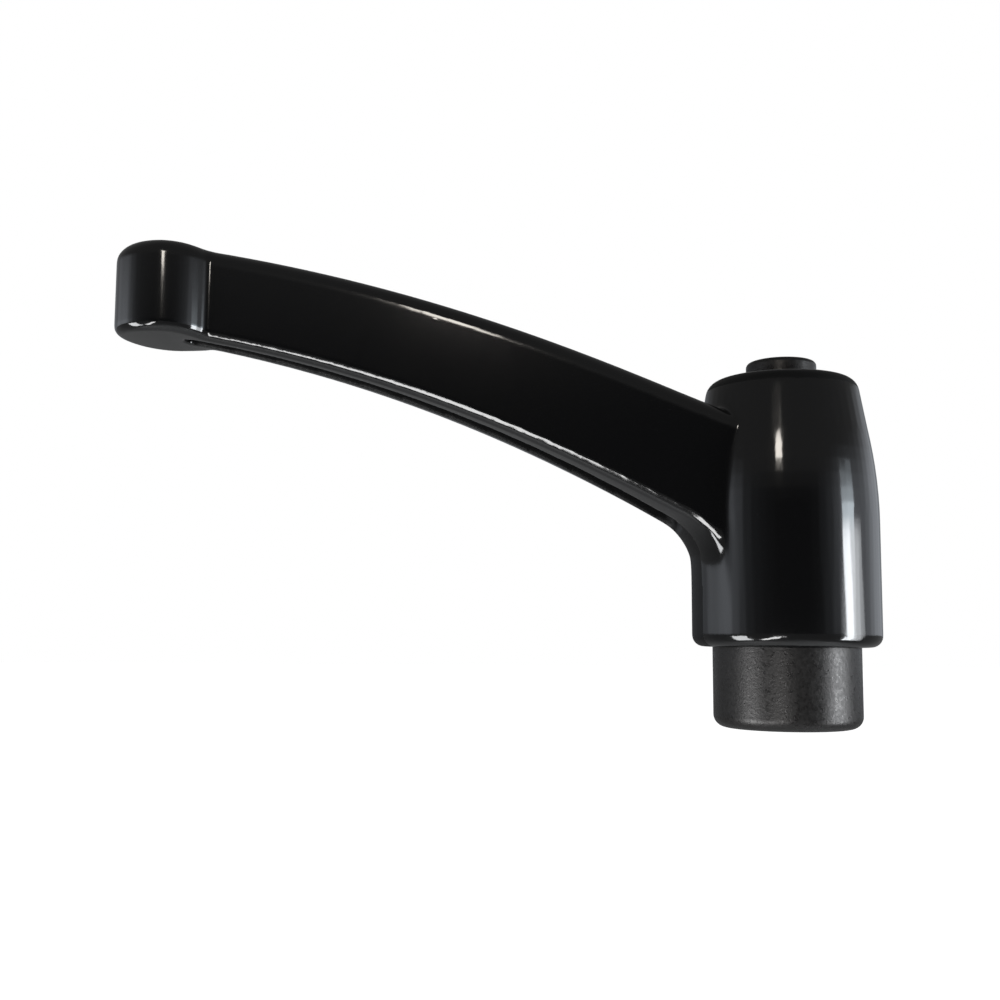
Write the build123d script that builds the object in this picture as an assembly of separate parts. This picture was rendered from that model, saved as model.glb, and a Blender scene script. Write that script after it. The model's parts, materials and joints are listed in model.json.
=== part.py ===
from build123d import *
import os
from math import cos, degrees, hypot, radians, sin, sqrt, tan

# Adjustable clamping lever with a threaded insert, in millimetres.
# Origin: centre of the insert's lower end face.  +Z runs up the hub axis, and the arm points to -X.
#
# lever_handle     zinc die casting: hub, curved channel-section arm and round grip knob in one piece
# threaded_insert  steel bush with the clamping thread, serrated where the handle engages it
# retaining_screw  steel shoulder screw that holds the handle and the spring on the insert
# return_spring    compression spring that presses the handle down into the serration
#
# Lifting the handle by lever_lift frees it from the serration, so that it can be turned to another tooth.

# ---- Handle: hub -------------------------------------------------------------------------------
hub_diameter = 23.0
hub_bottom = 9.8                # height of the hub's lower face above the insert's end face
hub_top = 43.15
hub_straight_top = 25.0         # the hub is a plain cylinder up to here
hub_taper_start = 35.2          # and a plain cone from here
hub_taper_angle = 10.2          # degrees; a tangent arc joins cylinder and cone
hub_bottom_rounding = 1.4
hub_top_rounding = 2.0

# ---- Handle: grip knob and arm -------------------------------------------------------------------
lever_length = 78.0             # hub axis to knob centre
knob_diameter = 13.3
knob_top = 59.86
knob_height = 11.7
knob_crown = 0.45               # fall of the knob's end faces from its axis to its outer side
arm_root_top = 39.12            # heights at which the arm's top and bottom lines reach the hub
arm_root_bottom = 23.25
arm_knob_rise = 0.4             # both lines start this far above the knob's flat faces
arm_top_bow = 2.65              # rise of each curved line over its chord
arm_bottom_bow = 3.59
arm_root_width = 15.2
arm_neck_width = 7.4
neck_blend = 1.0                # hollow radius between arm and knob, seen from above
underside_blend = 8.0           # hollow radius between the arm's underside and the hub
underside_bite = 0.2            # how far that hollow would run past the hub's skin
arm_top_rounding = 1.9
arm_lip_rounding = 1.1
root_fillet = 0.6

# ---- Handle: trough along the arm's underside ----------------------------------------------------
trough_roof = 3.6               # metal left above the trough
trough_neck_lip = 2.15          # metal left at each side of it, at the knob's neck
trough_root_lip = 3.85          # and at the hub
trough_root_gap = 1.6           # metal between the trough and the hub's skin
trough_knob_reach = 2.2         # how far the trough stops short of the knob's centre
trough_corner = 1.2

# ---- Threaded insert -----------------------------------------------------------------------------
insert_diameter = 18.0
insert_length = 29.5
insert_edge_rounding = 1.5
thread_core_diameter = 10.106   # M12 x 1.75 core hole; its thread is not modelled here
thread_depth = 22.0
thread_mouth_diameter = 12.8
insert_clearance = 0.25         # radial, between the insert and the handle's lower bore

# ---- Serration between insert and handle -----------------------------------------------------------
tooth_count = 24
tooth_length = 4.5
tooth_tip_radius = 8.5
tooth_root_radius = 7.7
tooth_tip_share = 0.28          # share of one pitch taken by each tip, and by each root
tooth_clearance = 0.12
tooth_lead_in = 0.6

# ---- Retaining screw -------------------------------------------------------------------------------
screw_head_diameter = 8.7
screw_head_height = 4.0
screw_head_projection = 2.35    # head above the hub's top face
screw_rim_rounding = 0.6
screw_shank_diameter = 6.0
screw_stud_diameter = 4.48      # pitch diameter of M5; its thread is not modelled here
screw_stud_length = 7.0
screw_stud_clearance = 0.02
screw_shank_clearance = 0.08
socket_across_flats = 4.0
socket_depth = 2.2
head_bore_clearance = 0.25

# ---- Return spring -----------------------------------------------------------------------------------
web_thickness = 3.0             # floor of the spring chamber in the handle
spring_wire = 0.7
spring_mean_diameter = 7.7
spring_free_turns = 3.0
spring_end_turns = 1.0          # closed turns at each end, ground flat to half the wire
spring_end_gap = 0.02           # between an end turn and the next one
bore_edge_break = 0.4

# ---- Sizes that follow -------------------------------------------------------------------------------
hub_radius = hub_diameter / 2
knob_radius = knob_diameter / 2
knob_bottom = knob_top - knob_height
insert_radius = insert_diameter / 2
insert_bore_radius = insert_radius + insert_clearance
tooth_bottom = insert_length - tooth_length
web_top = insert_length + web_thickness
head_top = hub_top + screw_head_projection
head_bottom = head_top - screw_head_height
head_bore_radius = screw_head_diameter / 2 + head_bore_clearance
hub_barrel_radius = (hub_taper_start - hub_straight_top) / sin(radians(hub_taper_angle))
hub_cone_radius = hub_radius - hub_barrel_radius * (1 - cos(radians(hub_taper_angle)))
hub_top_radius = hub_cone_radius - (hub_top - hub_taper_start) * tan(radians(hub_taper_angle))
arm_inner_end = hub_radius / 2      # the arm's section reaches this far into the hub,
arm_foot = hub_bottom + 2 * hub_bottom_rounding     # and down to here inside it


def hub_skin_radius(z):
    """Outer radius of the hub at height z, without its end roundings."""
    if z < hub_straight_top:
        return hub_radius
    if z < hub_taper_start:
        drop = hub_barrel_radius - sqrt(hub_barrel_radius ** 2 - (z - hub_straight_top) ** 2)
        return hub_radius - drop
    return hub_cone_radius - (z - hub_taper_start) * tan(radians(hub_taper_angle))


class BowedLine:
    """A circular arc over the chord from the knob to the hub, in (-radius, height) coordinates."""

    def __init__(self, knob_height_at_axis, root_height, bow):
        x0, z0 = -lever_length, knob_height_at_axis
        x1, z1 = -hub_radius, root_height
        chord = hypot(x1 - x0, z1 - z0)
        self.radius = (chord ** 2 / 4 + bow ** 2) / (2 * bow)
        below = self.radius - bow
        self.x = (x0 + x1) / 2 + below * (z1 - z0) / chord
        self.z = (z0 + z1) / 2 - below * (x1 - x0) / chord

    def height(self, x):
        return self.z + sqrt(self.radius ** 2 - (x - self.x) ** 2)

    def leave(self, face_height):
        """Where an arc that starts level on the knob's axis, at face_height, runs into this line."""
        across, up = -lever_length - self.x, face_height - self.z
        turn = (self.radius ** 2 - across ** 2 - up ** 2) / (2 * (self.radius - up))
        share = self.radius / (self.radius - turn)
        return self.x + across * share, self.z + (up - turn) * share

    def arc(self, x_from, x_to):
        x_mid = (x_from + x_to) / 2
        points = [(x, self.height(x)) for x in (x_from, x_mid, x_to)]
        return ThreePointArc(*points)


top_line = BowedLine(knob_top + arm_knob_rise, arm_root_top, arm_top_bow)
bottom_line = BowedLine(knob_bottom + arm_knob_rise, arm_root_bottom, arm_bottom_bow)


def tapered(x, at_neck, at_root):
    """A width at x that changes evenly from the knob's neck to the hub."""
    neck = -(lever_length - knob_radius)
    share = (x - neck) / (-hub_radius - neck)
    return at_neck + (at_root - at_neck) * share


def make_hub():
    """The hub as a solid of revolution, still without its bores."""
    with BuildSketch(Plane.XZ) as section:
        with BuildLine():
            Polyline((0, hub_bottom), (hub_radius, hub_bottom), (hub_radius, hub_straight_top))
            TangentArc((hub_radius, hub_straight_top), (hub_cone_radius, hub_taper_start), tangent=(0, 1))
            Line((hub_cone_radius, hub_taper_start), (hub_top_radius, hub_top))
            Polyline((hub_top_radius, hub_top), (0, hub_top), (0, hub_bottom))
        make_face()
        corners = section.vertices().filter_by(lambda v: v.X > 0.1)
        fillet([v for v in corners if v.Y < hub_straight_top - 1], hub_bottom_rounding)
        corners = section.vertices().filter_by(lambda v: v.X > 0.1)
        fillet([v for v in corners if v.Y > hub_taper_start + 1], hub_top_rounding)
    return revolve(section.sketch, Axis.Z, 360).solid()


def arm_side_section():
    """Side view of arm and knob, to be swung about the hub axis so that it meets the hub all round."""
    # The underside hollow touches the bottom line from below and stands upright at the hub's skin.
    hollow_end = -(hub_radius - underside_bite)
    hollow_x = hollow_end - underside_blend
    reach = bottom_line.radius - underside_blend
    hollow_z = bottom_line.z + sqrt(reach ** 2 - (hollow_x - bottom_line.x) ** 2)
    touch_x = bottom_line.x + (hollow_x - bottom_line.x) * bottom_line.radius / reach
    touch_z = bottom_line.height(touch_x)
    half_way = (touch_x + hollow_end) / 2
    hollow_mid = (half_way, hollow_z + sqrt(underside_blend ** 2 - (half_way - hollow_x) ** 2))
    crown_radius = (knob_radius ** 2 + knob_crown ** 2) / (2 * knob_crown)
    tip = -(lever_length + knob_radius + 1)
    fall = crown_radius - sqrt(crown_radius ** 2 - (tip + lever_length) ** 2)
    top_start = top_line.leave(knob_top)
    bottom_start = bottom_line.leave(knob_bottom)
    inner = -arm_inner_end
    with BuildSketch(Plane.XZ) as section:
        with BuildLine():
            TangentArc((-lever_length, knob_bottom), (tip, knob_bottom + fall), tangent=(-1, 0))
            Line((tip, knob_bottom + fall), (tip, knob_top - fall))
            TangentArc((-lever_length, knob_top), (tip, knob_top - fall), tangent=(-1, 0))
            TangentArc((-lever_length, knob_top), top_start, tangent=(1, 0))
            top_line.arc(top_start[0], inner)
            Polyline((inner, top_line.height(inner)), (inner, arm_foot), (hollow_end, arm_foot))
            Line((hollow_end, arm_foot), (hollow_end, hollow_z))
            ThreePointArc((hollow_end, hollow_z), hollow_mid, (touch_x, touch_z))
            bottom_line.arc(touch_x, bottom_start[0])
            TangentArc((-lever_length, knob_bottom), bottom_start, tangent=(1, 0))
        make_face()
    return section.sketch


def tapered_plan(neck_width, root_width, x_from, x_to):
    """A tapering outline from above, with these widths at the knob's neck and at the hub."""
    half_from = tapered(x_from, neck_width, root_width) / 2
    half_to = tapered(x_to, neck_width, root_width) / 2
    corners = [(x_from, -half_from), (x_to, -half_to), (x_to, half_to), (x_from, half_from)]
    return Polyline(*corners, close=True)


def make_arm():
    """Arm and knob, all their long edges rounded."""
    body = revolve(arm_side_section(), Axis.Z, 180).solid().rotate(Axis.Z, -90)
    with BuildSketch(Plane.XY) as plan:
        with BuildLine():
            tapered_plan(arm_neck_width, arm_root_width, -lever_length, -arm_inner_end / 2)
        make_face()
        with Locations((-lever_length, 0)):
            Circle(knob_radius)
        neck = [v for v in plan.vertices() if -lever_length < v.X < -lever_length + knob_radius + 1]
        fillet(neck, neck_blend)
    arm = (body & extrude(plan.sketch, amount=knob_top + 1)).solid()
    upper, lower = [], []
    for wall in arm.faces():
        middle = wall.center()
        if abs(wall.normal_at().Z) > 0.001 or middle.X > -hub_radius:
            continue
        for edge in wall.edges():
            if abs(edge.tangent_at(0.5).Z) > 0.99 or edge.center().Z < arm_foot + 0.001:
                continue
            (upper if edge.center().Z > middle.Z else lower).append(edge)
    arm = arm.fillet(arm_top_rounding, upper)
    return arm.fillet(arm_lip_rounding, lower)


def on_arm_seam(edge, skin_tolerance=0.05):
    """True for an edge of the seam where the arm's skin runs into the hub's."""
    lowest = hub_bottom + hub_bottom_rounding + skin_tolerance
    highest = hub_top - hub_top_rounding - skin_tolerance
    for share in (0.02, 0.25, 0.5, 0.75, 0.98):
        p = edge.position_at(share)
        if p.X > 0 or abs(p.Y) > arm_root_width or not lowest < p.Z < highest:
            return False
        if abs(hypot(p.X, p.Y) - hub_skin_radius(p.Z)) > skin_tolerance:
            return False
    return True


def make_trough():
    """Cutter for the channel in the arm's underside; its upper corners are rounded."""
    root_end = -(hub_radius + trough_root_gap)
    knob_end = -(lever_length - trough_knob_reach)
    left, right = knob_end - 1, root_end + 1
    arc_points = [(x, top_line.height(x) - trough_roof) for x in (left, (left + right) / 2, right)]
    with BuildSketch(Plane.XZ) as section:
        with BuildLine():
            ThreePointArc(*arc_points)
            Polyline(arc_points[2], (right, 0), (left, 0), arc_points[0])
        make_face()
    side = extrude(section.sketch, amount=arm_root_width, both=True)
    neck_width = arm_neck_width - 2 * trough_neck_lip
    root_width = arm_root_width - 2 * trough_root_lip
    narrow_half = tapered(knob_end, neck_width, root_width) / 2
    with BuildSketch(Plane.XY) as plan:
        with BuildLine():
            tapered_plan(neck_width, root_width, knob_end, root_end)
        make_face()
        ends = plan.vertices().sort_by(Axis.X)
        fillet(ends[:2], 0.96 * narrow_half)
        ends = plan.vertices().sort_by(Axis.X)
        fillet(ends[-2:], trough_corner)
    cutter = (side & extrude(plan.sketch, amount=knob_top)).solid()
    level = [e for e in cutter.edges() if abs(e.tangent_at(0.5).Z) < 0.9]
    roof_rounding = min(trough_corner, 0.8 * narrow_half)
    return cutter.fillet(roof_rounding, [e for e in level if e.center().Z > 1])


def tooth_ring(bottom, height, grow):
    """A straight-toothed bar; grow widens every tooth for running clearance in a hole."""
    pitch = 360 / tooth_count
    tip, root = tooth_tip_radius + grow, tooth_root_radius + grow
    tip_half = pitch * tooth_tip_share / 2 + degrees(grow / tooth_tip_radius)
    root_half = pitch * tooth_tip_share / 2 - degrees(grow / tooth_root_radius)
    points = []
    for i in range(tooth_count):
        middle = i * pitch
        gap = middle + pitch / 2
        corners = [(tip, middle - tip_half), (tip, middle + tip_half)]
        corners += [(root, gap - root_half), (root, gap + root_half)]
        points += [(radius * cos(radians(angle)), radius * sin(radians(angle))) for radius, angle in corners]
    with BuildSketch(Plane.XY.offset(bottom)) as outline:
        with BuildLine():
            Polyline(*points, close=True)
        make_face()
    return extrude(outline.sketch, amount=height).solid()


def disc(radius, z_from, z_to):
    """A plain round bar on the hub axis."""
    return Pos(0, 0, (z_from + z_to) / 2) * Cylinder(radius, z_to - z_from)


def make_handle():
    """The die casting: hub, arm and knob in one, with the bores and the internal serration."""
    body = make_arm().fuse(make_hub()).solid()
    body = body.fillet(root_fillet, [e for e in body.edges() if on_arm_seam(e)])
    body = (body - make_trough()).solid()
    body = (body - disc(insert_bore_radius, hub_bottom - 1, tooth_bottom)).solid()
    body = (body - tooth_ring(tooth_bottom, tooth_length, tooth_clearance)).solid()
    shank_hole_radius = screw_shank_diameter / 2 + screw_shank_clearance
    body = (body - disc(shank_hole_radius, insert_length - 1, hub_top + 1)).solid()
    body = (body - disc(head_bore_radius, web_top, hub_top + 1)).solid()
    mouths = [e for e in body.edges().filter_by(GeomType.CIRCLE) if is_bore_mouth(e)]
    return body.chamfer(bore_edge_break, None, mouths)


def is_bore_mouth(edge):
    """True for the outer rims of the insert bore and of the spring chamber."""
    rims = ((insert_bore_radius, hub_bottom), (head_bore_radius, hub_top))
    return any(abs(edge.radius - r) < 0.001 and abs(edge.center().Z - z) < 0.001 for r, z in rims)


def make_insert():
    """Steel bush: plain below, serrated above, threaded from both ends."""
    body = disc(insert_radius, 0, tooth_bottom)
    body = body.fillet(insert_edge_rounding, body.edges().group_by(Axis.Z)[0])
    teeth = tooth_ring(tooth_bottom, tooth_length, 0)
    lead_in = Pos(0, 0, tooth_bottom + tooth_length / 2) * Cylinder(tooth_tip_radius, tooth_length)
    lead_in = lead_in.chamfer(tooth_lead_in, None, lead_in.edges().group_by(Axis.Z)[-1])
    body = body.fuse((teeth & lead_in).solid()).solid()
    core = thread_core_diameter / 2
    mouth = thread_mouth_diameter / 2
    body = (body - disc(core, -1, thread_depth)).solid()
    body = (body - Pos(0, 0, (mouth - core) / 2) * Cone(mouth, core, mouth - core)).solid()
    screw_hole = screw_stud_diameter / 2 + screw_stud_clearance
    return (body - disc(screw_hole, thread_depth - 1, insert_length + 1)).solid()


def make_screw():
    """Shoulder screw: socketed head, plain shank seated on the insert, stud screwed into it."""
    head = disc(screw_head_diameter / 2, head_bottom, head_top)
    head = head.fillet(screw_rim_rounding, head.edges().group_by(Axis.Z)[-1])
    with BuildSketch(Plane.XY.offset(head_top - socket_depth)) as hexagon:
        RegularPolygon(socket_across_flats / 2, 6, major_radius=False)
    head = (head - extrude(hexagon.sketch, amount=socket_depth + 1)).solid()
    shank = disc(screw_shank_diameter / 2, insert_length, head_bottom)
    stud = disc(screw_stud_diameter / 2, insert_length - screw_stud_length, insert_length)
    return head.fuse(shank, stud).solid()


def coil(bottom, pitch, turns):
    """A stretch of spring wire; every stretch starts in the XZ plane."""
    line = Helix(pitch, pitch * turns, spring_mean_diameter / 2, center=(0, 0, bottom))
    section = Plane(line.position_at(0), z_dir=line.tangent_at(0)) * Circle(spring_wire / 2)
    return sweep(section, path=line, is_frenet=True)


def make_spring():
    """Compression spring with closed, ground ends, from the chamber floor to the screw head."""
    end_pitch = spring_wire + spring_end_gap
    lower = web_top + end_pitch * spring_end_turns
    upper = head_bottom - end_pitch * spring_end_turns
    spring = coil(web_top, end_pitch, spring_end_turns)
    spring = spring.fuse(coil(lower, (upper - lower) / spring_free_turns, spring_free_turns))
    spring = spring.fuse(coil(upper, end_pitch, spring_end_turns))
    for joint_height in (lower, upper):
        spring = spring.fuse(Pos(spring_mean_diameter / 2, 0, joint_height) * Sphere(spring_wire / 2))
    return (spring & disc(spring_mean_diameter, web_top, head_bottom)).solid()


parts = {
    "lever_handle": make_handle(),
    "threaded_insert": make_insert(),
    "retaining_screw": make_screw(),
    "return_spring": make_spring(),
}

os.makedirs("parts", exist_ok=True)
for name, solid in parts.items():
    solid.label = name
    export_step(solid, "parts/" + name + ".step")
    size = solid.bounding_box().size
    print(f"{name}: {solid.volume:.1f} mm3, {size.X:.2f} x {size.Y:.2f} x {size.Z:.2f} mm")
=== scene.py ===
"""Adjustable clamping lever: the finish of its four pieces, its studio and its camera."""

import json
from math import ceil, cos, pi, radians, sin, tan

import bpy
from bpy.props import FloatProperty, FloatVectorProperty, IntProperty, PointerProperty
from mathutils import Matrix, Quaternion, Vector

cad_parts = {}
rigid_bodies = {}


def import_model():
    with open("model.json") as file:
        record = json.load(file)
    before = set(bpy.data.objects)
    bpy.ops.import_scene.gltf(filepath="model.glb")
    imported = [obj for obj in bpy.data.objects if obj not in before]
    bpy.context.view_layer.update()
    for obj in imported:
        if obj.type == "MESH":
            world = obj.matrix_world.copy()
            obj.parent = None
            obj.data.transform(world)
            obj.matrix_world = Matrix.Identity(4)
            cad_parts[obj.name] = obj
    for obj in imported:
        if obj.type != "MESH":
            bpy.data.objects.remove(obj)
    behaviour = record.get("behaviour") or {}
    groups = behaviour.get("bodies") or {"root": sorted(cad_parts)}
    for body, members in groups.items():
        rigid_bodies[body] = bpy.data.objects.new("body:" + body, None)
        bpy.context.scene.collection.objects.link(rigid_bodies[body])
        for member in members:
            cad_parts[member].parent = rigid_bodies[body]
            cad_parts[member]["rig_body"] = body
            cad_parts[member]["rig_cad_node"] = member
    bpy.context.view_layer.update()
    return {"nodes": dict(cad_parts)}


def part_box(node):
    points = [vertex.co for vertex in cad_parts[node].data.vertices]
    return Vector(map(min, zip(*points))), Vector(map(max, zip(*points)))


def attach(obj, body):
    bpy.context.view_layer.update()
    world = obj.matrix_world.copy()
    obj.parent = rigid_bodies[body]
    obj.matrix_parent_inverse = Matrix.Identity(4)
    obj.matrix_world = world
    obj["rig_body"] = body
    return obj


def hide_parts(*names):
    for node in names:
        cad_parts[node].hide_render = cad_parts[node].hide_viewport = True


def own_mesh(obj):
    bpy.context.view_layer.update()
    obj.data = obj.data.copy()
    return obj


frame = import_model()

bl_info = {
    "name": "Clamping Lever",
    "version": (1, 0, 0),
    "blender": (4, 5, 0),
    "location": "3D View > Sidebar > Clamping Lever",
    "description": "Finishes an adjustable clamping lever and sets it in a small studio",
    "category": "Add Mesh",
}

MM = 0.001
SCREW_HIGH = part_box("retaining_screw")[1]
HUB_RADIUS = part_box("lever_handle")[1].x
HUB_MIDDLE = Vector((0, 0, 22 * MM))       # what the lamps face
SOCKET_SIZE = 4 * MM                       # hexagon socket of the screw, across its flats
SOCKET_DEPTH = 2.2 * MM
CHANNEL_LENGTH = 60 * MM                   # of the channel under the arm, from the hub to the knob
CHANNEL_HALF_WIDTH = 3.85 * MM             # at the hub; it narrows by the next value towards the knob
CHANNEL_NARROWING = 2.2 * MM


# ---- Sizes and finishes that a user would change -----------------------------------------------------

class CastingSettings(bpy.types.PropertyGroup):
    """The die-cast handle and its powder coat."""

    grain: FloatProperty(
        name="Surface grid", description="Size of the faces that the cast skin is rebuilt from",
        default=0.2 * MM, min=0.15 * MM, max=1 * MM,
        subtype="DISTANCE", unit="LENGTH", precision=5)
    softening: IntProperty(
        name="Softening", description="How often the cast skin is eased, which rounds its sharp edges",
        default=5, min=0, max=40)
    root_easing: IntProperty(
        name="Root easing", description="How often the corners between arm and hub are eased",
        default=160, min=0, max=400)
    kept_faces: FloatProperty(
        name="Kept faces", description="Share of the skin's faces that stay when even parts are thinned",
        default=0.33, min=0.05, max=1, subtype="FACTOR")
    coat_colour: FloatVectorProperty(
        name="Coat colour", description="Colour of the gloss powder coat",
        default=(0.002, 0.002, 0.0021), size=3, min=0, max=1, subtype="COLOR")
    coat_roughness: FloatProperty(
        name="Coat roughness", description="Roughness of the gloss powder coat",
        default=0.1, min=0, max=1, subtype="FACTOR")
    coat_index: FloatProperty(
        name="Coat index", description="Refractive index of the powder coat",
        default=1.6, min=1.3, max=2.0)


class InsertSettings(bpy.types.PropertyGroup):
    """The threaded steel insert, and the steel above it."""

    steel_colour: FloatVectorProperty(
        name="Steel colour", description="Colour of the blackened, turned steel",
        default=(0.024, 0.023, 0.0225), size=3, min=0, max=1, subtype="COLOR")
    steel_roughness: FloatProperty(
        name="Steel roughness", description="Roughness of the blackened, turned steel",
        default=0.42, min=0, max=1, subtype="FACTOR")
    thread_pitch: FloatProperty(
        name="Thread pitch", description="Pitch of the clamping thread",
        default=1.75 * MM, min=0.5 * MM, max=3 * MM, subtype="DISTANCE", unit="LENGTH", precision=5)
    thread_diameter: FloatProperty(
        name="Thread diameter", description="Nominal diameter of the clamping thread",
        default=12 * MM, min=4 * MM, max=16 * MM, subtype="DISTANCE", unit="LENGTH", precision=5)
    thread_length: FloatProperty(
        name="Thread length", description="How far the thread runs up from the insert's end face",
        default=18 * MM, min=2 * MM, max=20 * MM, subtype="DISTANCE", unit="LENGTH", precision=5)


class StageSettings(bpy.types.PropertyGroup):
    """Camera, lamps and backdrop."""

    lens_length: FloatProperty(
        name="Lens", description="Focal length of the camera, on a 36 mm sensor",
        default=43.70, min=10, max=200)
    distance: FloatProperty(
        name="Camera distance", description="From the camera to its pivot point on the hub axis",
        default=155.5 * MM, min=0.05, max=1, subtype="DISTANCE", unit="LENGTH")
    azimuth: FloatProperty(
        name="Camera azimuth", description="Turn of the camera about the hub axis, from straight in front",
        default=radians(12.5), subtype="ANGLE", unit="ROTATION")
    elevation: FloatProperty(
        name="Camera elevation", description="Height of the camera over its pivot point, as an angle",
        default=radians(-3.0), subtype="ANGLE", unit="ROTATION")
    floor_drop: FloatProperty(
        name="Floor drop", description="How far the floor lies below the insert's end face",
        default=900 * MM, min=0, max=3, subtype="DISTANCE", unit="LENGTH")


# ---- Shared steps ----------------------------------------------------------------------------------------

def alone(piece):
    """Makes this the only selected object, and the active one."""
    bpy.ops.object.select_all(action="DESELECT")
    piece.select_set(True)
    bpy.context.view_layer.objects.active = piece


def apply_modifier(piece, kind, **values):
    """Adds a modifier with these values and applies it."""
    alone(piece)
    bpy.ops.object.modifier_add(type=kind)
    modifier = piece.modifiers[-1]
    for name, value in values.items():
        setattr(modifier, name, value)
    bpy.ops.object.modifier_apply(modifier=modifier.name)


def merged_copy(node, name):
    """A copy of a node's mesh with its loose triangles joined."""
    piece = frame["nodes"][node].copy()
    piece.data = piece.data.copy()
    piece.name = piece.data.name = name
    piece.parent = None
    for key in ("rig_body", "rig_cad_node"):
        del piece[key]
    bpy.context.scene.collection.objects.link(piece)
    piece.data.materials.clear()
    alone(piece)
    bpy.ops.object.mode_set(mode="EDIT")
    bpy.ops.mesh.select_all(action="SELECT")
    bpy.ops.mesh.remove_doubles(threshold=1e-6)
    bpy.ops.object.mode_set(mode="OBJECT")
    if piece.data.has_custom_normals:
        bpy.ops.mesh.customdata_custom_splitnormals_clear()
    return piece


def cut_away(piece, tool):
    """Cuts the tool out of the piece and removes the tool."""
    before = len(piece.data.vertices)
    apply_modifier(piece, "BOOLEAN", operation="DIFFERENCE", object=tool, solver="EXACT")
    bpy.data.objects.remove(tool)
    if len(piece.data.vertices) == before:
        raise RuntimeError("nothing was cut from " + piece.name)


def finished(piece, node, body, material):
    """Gives the piece its finish, and puts it in place of its node."""
    piece.data.materials.append(material)
    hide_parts(node)
    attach(piece, body)


def new_material(name, **sockets):
    """A material with one Principled shader, its plain values set on the shader's own sockets."""
    material = bpy.data.materials.new(name)
    material.use_nodes = True
    shader = material.node_tree.nodes["Principled BSDF"]
    for socket, value in sockets.items():
        shader.inputs[socket.replace("_", " ")].default_value = value
    return material, material.node_tree, shader


def noise(tree, scale, detail=2.0, roughness=0.5):
    """Noise in object space; scale is in waves per metre."""
    place = tree.nodes.new("ShaderNodeTexCoord")
    texture = tree.nodes.new("ShaderNodeTexNoise")
    texture.inputs["Scale"].default_value = scale
    texture.inputs["Detail"].default_value = detail
    texture.inputs["Roughness"].default_value = roughness
    tree.links.new(place.outputs["Object"], texture.inputs["Vector"])
    return texture.outputs["Fac"]


def ranged(tree, value, low, high, new_low, new_high):
    """Maps a value from one range to another, clamped."""
    node = tree.nodes.new("ShaderNodeMapRange")
    for socket, number in zip(("From Min", "From Max", "To Min", "To Max"), (low, high, new_low, new_high)):
        node.inputs[socket].default_value = number
    tree.links.new(value, node.inputs["Value"])
    return node.outputs["Result"]


def bump(tree, shader, height, distance, strength=1.0):
    """Adds a bump of this depth, in metres, on top of the ones that the shader has."""
    node = tree.nodes.new("ShaderNodeBump")
    node.inputs["Strength"].default_value = strength
    node.inputs["Distance"].default_value = distance
    tree.links.new(height, node.inputs["Height"])
    if shader.inputs["Normal"].is_linked:
        tree.links.new(shader.inputs["Normal"].links[0].from_socket, node.inputs["Normal"])
    tree.links.new(node.outputs["Normal"], shader.inputs["Normal"])


# ---- Finishes --------------------------------------------------------------------------------------------

def gloss_powder_coat(settings):
    """Black gloss powder coat with a faint orange peel."""
    material, tree, shader = new_material(
        "gloss_powder_coat", Base_Color=(*settings.coat_colour, 1), Roughness=settings.coat_roughness)
    bump(tree, shader, noise(tree, 420, 2), 0.004 * MM)
    bump(tree, shader, noise(tree, 2600, 2), 0.0005 * MM)
    return material


def rough_coat(settings):
    """The same coat where it is thin and grainy: in the arm's channel and in the hub's bores."""
    material, tree, shader = new_material(
        "rough_coat", Base_Color=(*settings.coat_colour, 1), Roughness=0.45, IOR=1.25)
    bump(tree, shader, noise(tree, 3000, 3, 0.6), 0.03 * MM)
    return material


def blackened_steel(name, settings):
    """Turned steel with a satin black oxide."""
    material, tree, shader = new_material(
        name, Base_Color=(*settings.steel_colour, 1), Metallic=0.75)
    satin = settings.steel_roughness
    flecks = ranged(tree, noise(tree, 2200, 2), 0.4, 0.7, satin, 0.6 * satin)
    tree.links.new(flecks, shader.inputs["Roughness"])
    bump(tree, shader, noise(tree, 3600, 3, 0.65), 0.03 * MM)
    return material


def spring_steel():
    """Bright drawn spring wire."""
    material, tree, shader = new_material(
        "spring_steel", Base_Color=(0.42, 0.42, 0.43, 1), Metallic=1.0, Roughness=0.3)
    bump(tree, shader, noise(tree, 4000, 2), 0.004 * MM)
    return material


# ---- Pieces ----------------------------------------------------------------------------------------------

def mark_root(piece):
    """Groups the skin around the two corners where the sides of the arm's foot run into the hub."""
    corner, reach = Vector((-9.8, 5.5, 19.2)) * MM, 5.5 * MM
    group = piece.vertex_groups.new(name="root")
    for vertex in piece.data.vertices:
        x, y, z = vertex.co
        share = 1.6 * (1 - (Vector((x, abs(y), z)) - corner).length / reach)
        if share > 0:
            group.add([vertex.index], min(share, 1), "REPLACE")


def in_bore(face):
    """Whether a face of the handle is inside the hub."""
    return face.center.xy.length < 9.4 * MM and face.center.z < SCREW_HIGH.z - 2.6 * MM


def in_channel(face):
    """Whether a face of the handle is in the channel under the arm, which narrows towards the knob."""
    along = (-HUB_RADIUS - face.center.x) / CHANNEL_LENGTH
    half_width = CHANNEL_HALF_WIDTH - CHANNEL_NARROWING * along
    return -0.03 < along < 1.06 and abs(face.center.y) < half_width and face.normal.z < 0.4


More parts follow.
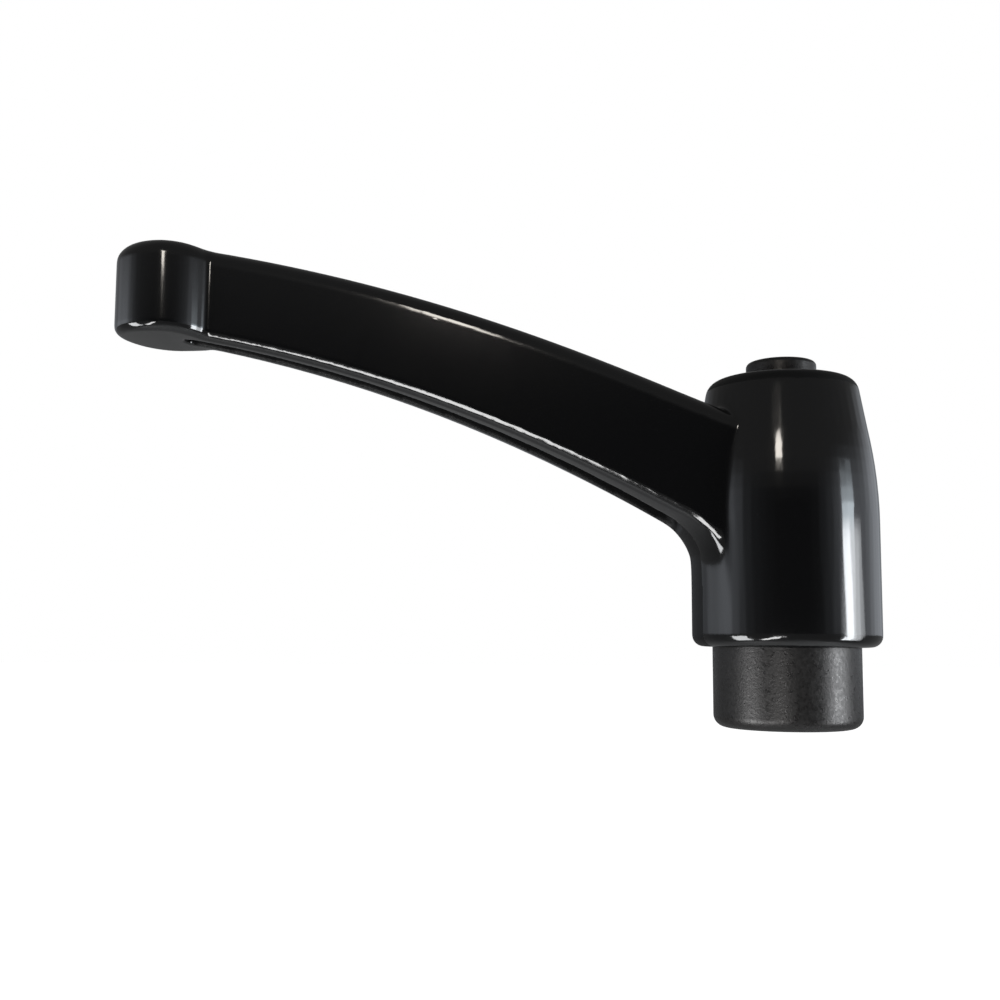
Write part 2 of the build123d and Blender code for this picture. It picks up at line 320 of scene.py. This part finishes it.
class LEVER_OT_casting(bpy.types.Operator):
    """Rebuild the handle as one even, softly rounded cast skin with a powder coat"""

    bl_idname = "clamping_lever.casting"
    bl_label = "Cast Handle"

    def execute(self, context):
        settings = context.scene.lever_casting
        piece = merged_copy("lever_handle", "cast_handle")
        apply_modifier(piece, "REMESH", mode="VOXEL", voxel_size=settings.grain, use_smooth_shade=True)
        apply_modifier(piece, "SMOOTH", factor=0.5, iterations=settings.softening)
        apply_modifier(piece, "DECIMATE", decimate_type="COLLAPSE", ratio=settings.kept_faces)
        mark_root(piece)
        apply_modifier(piece, "SMOOTH", factor=0.5, iterations=settings.root_easing, vertex_group="root")
        piece.vertex_groups.clear()
        finished(piece, "lever_handle", "lever", gloss_powder_coat(settings))
        piece.data.materials.append(rough_coat(settings))
        for face in piece.data.polygons:
            face.material_index = int(in_bore(face) or in_channel(face))
        return {"FINISHED"}


def thread_groove(settings):
    """The groove of the clamping thread, wound up the Z axis from below the insert's end face."""
    pitch = settings.thread_pitch
    profile_radius = 0.49 * pitch       # of the circle around the three corners of the groove's section
    turns = ceil(settings.thread_length / pitch + 1.5)
    start = settings.thread_length - turns * pitch
    outer = settings.thread_diameter / 2 + pitch / 12
    bpy.ops.mesh.primitive_circle_add(
        vertices=3, radius=profile_radius, fill_type="NOTHING",
        location=(outer - profile_radius, 0, start), rotation=(pi / 2, pi / 2, 0))
    groove = bpy.context.object
    bpy.ops.object.transform_apply(location=True, rotation=True, scale=True)
    apply_modifier(
        groove, "SCREW", axis="Z", angle=2 * pi, screw_offset=pitch, iterations=turns,
        steps=48, render_steps=48)
    bpy.ops.object.mode_set(mode="EDIT")
    bpy.ops.mesh.select_all(action="SELECT")
    bpy.ops.mesh.fill_holes(sides=0)
    bpy.ops.mesh.select_all(action="SELECT")
    bpy.ops.mesh.normals_make_consistent(inside=False)
    bpy.ops.object.mode_set(mode="OBJECT")
    return groove


class LEVER_OT_insert(bpy.types.Operator):
    """Cut the clamping thread into the steel insert"""

    bl_idname = "clamping_lever.insert"
    bl_label = "Threaded Insert"

    def execute(self, context):
        settings = context.scene.lever_insert
        piece = merged_copy("threaded_insert", "steel_insert")
        cut_away(piece, thread_groove(settings))
        alone(piece)
        bpy.ops.object.shade_smooth_by_angle(angle=radians(30))
        finished(piece, "threaded_insert", "insert",
                 blackened_steel("blackened_steel", settings))
        return {"FINISHED"}


class LEVER_OT_screw(bpy.types.Operator):
    """Break the mouth of the retaining screw's socket and give it a drilled bottom"""

    bl_idname = "clamping_lever.screw"
    bl_label = "Retaining Screw"

    def execute(self, context):
        piece = merged_copy("retaining_screw", "socket_screw")
        top = SCREW_HIGH.z
        mouth_depth = 0.5 * MM
        bpy.ops.mesh.primitive_cone_add(
            vertices=64, radius1=0, radius2=1.32 * SOCKET_SIZE, depth=2 * mouth_depth, location=(0, 0, top))
        cut_away(piece, bpy.context.object)
        tip_depth, overlap = 0.8 * MM, 0.04 * MM
        bpy.ops.mesh.primitive_cone_add(
            vertices=64, radius1=0, radius2=0.48 * SOCKET_SIZE, depth=tip_depth + overlap,
            location=(0, 0, top - SOCKET_DEPTH - (tip_depth - overlap) / 2))
        cut_away(piece, bpy.context.object)
        alone(piece)
        bpy.ops.object.shade_smooth_by_angle(angle=radians(30))
        finished(piece, "retaining_screw", "insert",
                 blackened_steel("blackened_screw_steel", context.scene.lever_insert))
        return {"FINISHED"}


class LEVER_OT_spring(bpy.types.Operator):
    """Finish the return spring, which in the real lever shortens as the lever is lifted; this step does not
    make the mesh shorten
    """

    bl_idname = "clamping_lever.spring"
    bl_label = "Return Spring"

    def execute(self, context):
        piece = merged_copy("return_spring", "coil_spring")
        bpy.ops.object.shade_smooth_by_angle(angle=radians(40))
        finished(piece, "return_spring", "spring", spring_steel())
        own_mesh(piece)
        return {"FINISHED"}


# ---- Studio ----------------------------------------------------------------------------------------------

def direction(azimuth, elevation):
    """Unit vector; azimuth is in degrees from the front (-Y) towards the knob's side (-X)."""
    a, e = radians(azimuth), radians(elevation)
    return Vector((-sin(a) * cos(e), -cos(a) * cos(e), sin(e)))


def soft_lamp(name, azimuth, elevation, distance, span, radiance, colour, lean=0.0):
    """A rectangular soft box that faces the hub, and spans these angles as seen from there."""
    way = direction(azimuth, elevation)
    width, height = (2 * distance * tan(radians(angle) / 2) for angle in span)
    lamp = bpy.data.lights.new(name, "AREA")
    lamp.shape = "RECTANGLE"
    lamp.size, lamp.size_y = width, height
    lamp.color = colour
    lamp.energy = radiance * pi * width * height
    holder = bpy.data.objects.new(name, lamp)
    holder.location = HUB_MIDDLE + way * distance
    holder.rotation_mode = "QUATERNION"
    holder.rotation_quaternion = way.to_track_quat("Z", "Y") @ Quaternion((0, 0, 1), radians(lean))
    bpy.context.scene.collection.objects.link(holder)


def ramp(tree, value, stops, tint=(1, 1, 1)):
    """Colour by value; stops are pairs of a value from 0 to 1 and a brightness."""
    node = tree.nodes.new("ShaderNodeValToRGB")
    colours = node.color_ramp
    colours.interpolation = "EASE"
    colours.elements.remove(colours.elements[-1])
    for index, (position, level) in enumerate(stops):
        element = colours.elements[0] if index == 0 else colours.elements.new(position)
        element.position = position
        element.color = (*(level * part for part in tint), 1)
    tree.links.new(value, node.inputs["Fac"])
    return node.outputs["Color"]


ROOM = (        # degrees from the front towards the knob's side, and how bright the room is there
    (-180, 0.2), (-150, 0.3), (-138, 0.8), (-118, 1.2), (-95, 0.9), (-60, 1.4), (-52, 0.6), (-40, 0.25),
    (-27, 0.06), (-15, 0.03), (20, 0.03), (30, 0.06), (45, 0.12), (58, 0.25), (72, 0.8), (85, 1.7),
    (112, 1.0), (128, 0.4), (180, 0.2),
)


def studio_world():
    """White where the camera looks past the object; a dim room with a pale ceiling for reflections."""
    world = bpy.data.worlds.new("studio")
    world.use_nodes = True
    bpy.context.scene.world = world
    tree = world.node_tree
    nodes, links = tree.nodes, tree.links
    place = nodes.new("ShaderNodeTexCoord")
    parts = nodes.new("ShaderNodeSeparateXYZ")
    links.new(place.outputs["Generated"], parts.inputs["Vector"])
    flip = []
    for axis in "XY":
        node = nodes.new("ShaderNodeMath")
        node.operation = "MULTIPLY"
        node.inputs[1].default_value = -1
        links.new(parts.outputs[axis], node.inputs[0])
        flip.append(node.outputs["Value"])
    azimuth = nodes.new("ShaderNodeMath")
    azimuth.operation = "ARCTAN2"
    links.new(flip[0], azimuth.inputs[0])
    links.new(flip[1], azimuth.inputs[1])
    turn = ranged(tree, azimuth.outputs["Value"], -pi, pi, 0, 1)
    ring = ramp(tree, turn, [(angle / 360 + 0.5, level) for angle, level in ROOM], (0.92, 0.97, 1.05))
    height = ranged(tree, parts.outputs["Z"], -1, 1, 0, 1)
    ceiling = ramp(tree, height, [(0, 0), (0.58, 0), (0.69, 1), (1, 1)])
    mix = nodes.new("ShaderNodeMix")
    mix.data_type = "RGBA"
    links.new(ceiling, mix.inputs["Factor"])
    links.new(ring, mix.inputs["A"])
    mix.inputs["B"].default_value = (0.2, 0.2, 0.2, 1)
    background = nodes["Background"]
    links.new(mix.outputs["Result"], background.inputs["Color"])
    white = nodes.new("ShaderNodeBackground")
    white.inputs["Color"].default_value = (1, 1, 1, 1)
    path = nodes.new("ShaderNodeLightPath")
    seen = nodes.new("ShaderNodeMixShader")
    links.new(path.outputs["Is Camera Ray"], seen.inputs["Fac"])
    links.new(background.outputs["Background"], seen.inputs[1])
    links.new(white.outputs["Background"], seen.inputs[2])
    links.new(seen.outputs["Shader"], nodes["World Output"].inputs["Surface"])


def floor(settings):
    """A wide pale floor that looks white and still takes the object's shadow."""
    bpy.ops.mesh.primitive_plane_add(size=60, location=(0, 0, -settings.floor_drop))
    plane = bpy.context.object
    plane.name = plane.data.name = "floor"
    material, tree, shader = new_material("pale_floor", Base_Color=(0.8, 0.8, 0.8, 1), Roughness=0.9)
    path = tree.nodes.new("ShaderNodeLightPath")
    tree.links.new(path.outputs["Is Camera Ray"], shader.inputs["Emission Strength"])
    shader.inputs["Emission Color"].default_value = (0.9, 0.9, 0.9, 1)
    plane.data.materials.append(material)


def camera(settings):
    """The camera stands off from a point on the hub axis and looks past the arm's middle."""
    a, e = settings.azimuth, settings.elevation
    stand = Vector((0, 0, 20 * MM)) + settings.distance * Vector((-sin(a) * cos(e), -cos(a) * cos(e), sin(e)))
    yaw, pitch, roll = radians(-0.714), radians(6.048), radians(0.3)
    forward = Vector((sin(yaw) * cos(pitch), cos(yaw) * cos(pitch), sin(pitch)))
    right = Vector((cos(yaw), -sin(yaw), 0))
    up = right.cross(forward)
    turned_right = cos(roll) * right + sin(roll) * up
    turned_up = cos(roll) * up - sin(roll) * right
    data = bpy.data.cameras.new("camera")
    data.lens = settings.lens_length
    data.sensor_width = 36
    data.clip_start = 0.01
    holder = bpy.data.objects.new("camera", data)
    rotation = Matrix((turned_right, turned_up, -forward)).transposed()
    holder.matrix_world = Matrix.Translation(stand) @ rotation.to_4x4()
    bpy.context.scene.collection.objects.link(holder)
    bpy.context.scene.camera = holder


class LEVER_OT_stage(bpy.types.Operator):
    """Set up floor, lamps, world and camera"""

    bl_idname = "clamping_lever.stage"
    bl_label = "Studio"

    def execute(self, context):
        settings = context.scene.lever_stage
        studio_world()
        floor(settings)
        for azimuth, width, radiance in ((-67, 12, 22), (-76, 6, 11), (-82, 6, 7), (-88, 6, 4)):
            soft_lamp("right_window", azimuth, -12, 1.1, (width, 34), radiance, (0.93, 0.965, 1))
        for elevation, radiance in ((7, 9), (11, 4), (15, 1.5)):                 # it fades towards its top
            soft_lamp("right_window_top", -70, elevation, 1.1, (16, 4), radiance, (0.82, 0.93, 1))
        soft_lamp("left_window", 70, -24, 1.1, (20, 32), 14, (0.97, 0.985, 1))
        soft_lamp("strip", 29.5, -25.5, 1.0, (36, 8), 18, (1, 1, 1), lean=49)
        soft_lamp("warm_lamp", 17.3, 25.8, 0.29, (6, 8), 22, (1, 0.94, 0.86))
        camera(settings)
        context.scene.view_settings.view_transform = "Standard"
        return {"FINISHED"}


class LEVER_PT_panel(bpy.types.Panel):
    """Lists the sizes and the steps"""

    bl_idname = "LEVER_PT_panel"
    bl_label = "Clamping Lever"
    bl_space_type = "VIEW_3D"
    bl_region_type = "UI"
    bl_category = "Clamping Lever"

    def draw(self, context):
        for step, group in STEPS:
            box = self.layout.box()
            box.operator(step.bl_idname)
            settings = getattr(context.scene, group)
            for name in settings.bl_rna.properties.keys():
                if name not in ("rna_type", "name"):
                    box.prop(settings, name)


GROUPS = (
    ("lever_casting", CastingSettings),
    ("lever_insert", InsertSettings),
    ("lever_stage", StageSettings),
)
STEPS = (
    (LEVER_OT_casting, "lever_casting"),
    (LEVER_OT_insert, "lever_insert"),
    (LEVER_OT_screw, "lever_insert"),
    (LEVER_OT_spring, "lever_insert"),
    (LEVER_OT_stage, "lever_stage"),
)
CLASSES = [group for _, group in GROUPS] + [step for step, _ in STEPS] + [LEVER_PT_panel]


def register():
    for item in CLASSES:
        bpy.utils.register_class(item)
    for name, group in GROUPS:
        setattr(bpy.types.Scene, name, PointerProperty(type=group))


def unregister():
    for name, _ in GROUPS:
        delattr(bpy.types.Scene, name)
    for item in reversed(CLASSES):
        bpy.utils.unregister_class(item)


def main():
    register()
    bpy.ops.clamping_lever.casting()
    bpy.ops.clamping_lever.insert()
    bpy.ops.clamping_lever.screw()
    bpy.ops.clamping_lever.spring()
    bpy.ops.clamping_lever.stage()


if __name__ == "__main__":
    main()
